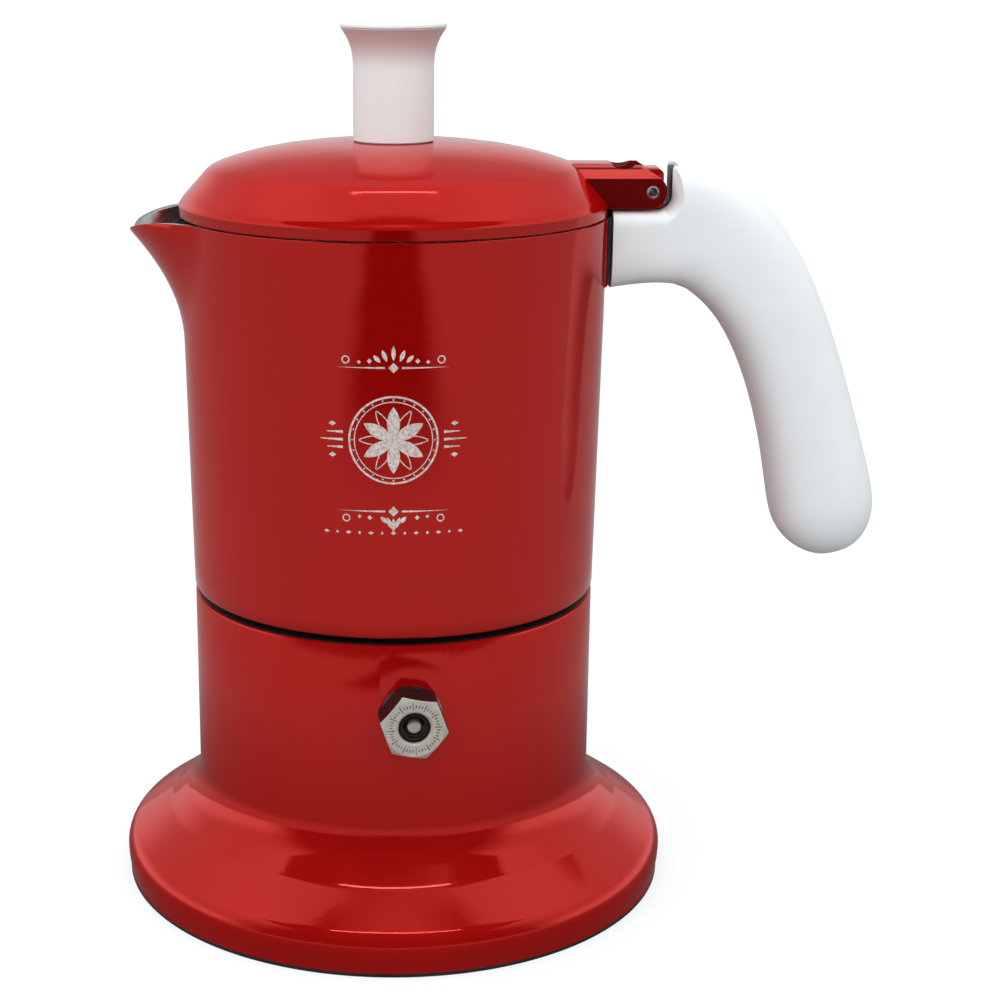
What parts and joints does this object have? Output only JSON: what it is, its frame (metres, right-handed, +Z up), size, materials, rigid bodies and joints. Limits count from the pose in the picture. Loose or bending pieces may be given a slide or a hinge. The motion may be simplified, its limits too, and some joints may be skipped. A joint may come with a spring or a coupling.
{
  "type": "moka pot",
  "caption": "Stovetop moka pot with a spread-base boiler, safety valve, screw-on collector with spout, hinged lid, tall knob and swept side handle.",
  "frame": {"origin": "on the pot's axis at the underside of the base", "axes": "+Z up along the pot's axis, +X toward the handle, -X toward the spout, -Y toward the safety valve"},
  "size_m": [0.162, 0.1184, 0.183],
  "materials": {
    "enamel": "gloss",
    "bare_aluminium": "satin",
    "nickel": "satin",
    "steel": "satin",
    "brass": "satin",
    "black_rubber": "matte",
    "pale_rubber": "matte",
    "black_plastic": "matte",
    "white_plastic": "satin"
  },
  "bodies": {
    "boiler": {"boiler": "enamel", "valve_washer": "bare_aluminium", "valve_body": "nickel", "valve_retainer": "nickel", "valve_spring": "steel"},
    "valve_pin": {"valve_pin": "steel", "valve_seal": "black_rubber"},
    "funnel": {"funnel": "bare_aluminium", "funnel_strainer": "bare_aluminium"},
    "seal": {"gasket": "pale_rubber", "filter_plate": "bare_aluminium"},
    "collector": {"collector": "enamel", "handle_spacer": "black_plastic", "handle": "white_plastic", "handle_screw": "steel", "handle_washer": "steel"},
    "lid": {"lid": "enamel", "hinge_pin": "steel", "knob": "white_plastic", "knob_insert": "brass", "knob_screw": "steel", "knob_washer": "steel", "knob_cap": "white_plastic"}
  },
  "joints": [
    {"name": "valve_slide", "type": "slide", "parent": "boiler", "child": "valve_pin", "axis": [0.0837, -0.9965, 0], "range_m": [0, 0.0012], "stiffness_N_per_m": 300, "deforming": ["valve_spring"]},
    {"name": "funnel_lift", "type": "slide", "parent": "boiler", "child": "funnel", "axis": [0, 0, 1], "range_m": [0, 0.07]},
    {"name": "collector_rise", "type": "slide", "parent": "funnel", "child": "seal", "axis": [0, 0, 1], "range_m": [0, 0.0061]},
    {"name": "collector_turn", "type": "hinge", "parent": "seal", "child": "collector", "pos_m": [0, 0, 0.0654], "axis": [0, 0, 1], "range_deg": [0, 720]},
    {"name": "lid_hinge", "type": "hinge", "parent": "collector", "child": "lid", "pos_m": [0.0527, 0, 0.1491], "axis": [0, 1, 0], "range_deg": [0, 70]}
  ],
  "couplings": [
    {"joint": "collector_rise", "follows": "collector_turn", "m_per_rad": 0.00047746}
  ]
}
